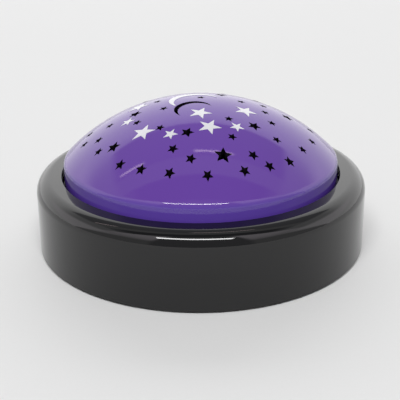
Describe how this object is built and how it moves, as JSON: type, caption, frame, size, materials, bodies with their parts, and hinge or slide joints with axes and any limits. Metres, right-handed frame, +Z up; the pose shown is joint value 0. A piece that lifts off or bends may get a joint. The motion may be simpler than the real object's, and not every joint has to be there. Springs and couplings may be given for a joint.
{
  "type": "star night light projector",
  "caption": "Round push night light: a gloss dome pierced with stars and a crescent moon sinks into a black base to switch an LED on, throwing star light on the ceiling.",
  "frame": {"origin": "on the table under the middle of the feet, on the axis of the round base", "axes": "+Z up along the dome's axis, -Y towards the viewer of the picture, +X to the viewer's right"},
  "size_m": [0.1406, 0.1406, 0.0616],
  "materials": {
    "dome_purple": "high gloss",
    "print_white": "printed, gloss",
    "base_black": "high gloss",
    "inner_black": "fine matt",
    "rubber": "matt",
    "screw_steel": "zinc plated",
    "nickel": "nickel plated",
    "cell_jacket": "satin sleeve",
    "board_green": "solder resist",
    "spacer_white": "matt",
    "led_clear": "clear resin",
    "resistor_tan": "lacquered",
    "plunger_white": "matt",
    "wire_red": "soft sleeve",
    "wire_yellow": "soft sleeve",
    "wire_black": "soft sleeve"
  },
  "bodies": {
    "base": {"base_housing": "base_black", "base_plate": "inner_black", "foot_right": "rubber", "foot_rear": "rubber", "foot_left": "rubber", "foot_front": "rubber", "housing_screws": "screw_steel", "battery_cell_1": "cell_jacket", "battery_cell_2": "cell_jacket", "battery_cell_3": "cell_jacket", "contact_positive": "nickel", "contact_negative": "nickel", "contact_bridge_front": "nickel", "contact_bridge_rear": "nickel", "battery_spring_1": "nickel", "battery_spring_2": "nickel", "battery_spring_3": "nickel", "lamp_board": "board_green", "lamp_board_screws": "screw_steel", "lamp_spacer": "spacer_white", "lamp_led": "led_clear", "lamp_resistor": "resistor_tan", "switch_board": "board_green", "switch_board_screws": "screw_steel", "switch_case": "inner_black", "wire_battery_to_switch": "wire_red", "wire_switch_to_lamp": "wire_yellow", "wire_battery_to_lamp": "wire_black", "return_spring_1": "nickel", "return_spring_2": "nickel", "return_spring_3": "nickel"},
    "dome": {"dome_shell": "dome_purple", "printed_stars": "print_white", "printed_moon": "print_white", "dome_ring": "inner_black"},
    "plunger": {"switch_plunger": "plunger_white"},
    "battery_door": {"battery_door": "base_black", "battery_door_screws": "screw_steel"}
  },
  "joints": [
    {"name": "dome_press", "type": "slide", "parent": "base", "child": "dome", "axis": [0, 0, -1], "range_m": [0, 0.0025], "stiffness_N_per_m": 1900, "springref_m": -0.0025, "deforming": ["return_spring_1", "return_spring_2", "return_spring_3"]},
    {"name": "plunger_press", "type": "slide", "parent": "base", "child": "plunger", "axis": [0, 0, -1], "range_m": [0, 0.0025], "stiffness_N_per_m": 200, "springref_m": -0.002},
    {"name": "battery_door_lift", "type": "slide", "parent": "base", "child": "battery_door", "axis": [0, 0, -1], "range_m": [0, 0.04]}
  ],
  "couplings": [
    {"joint": "plunger_press", "follows": "dome_press", "ratio": 1}
  ]
}
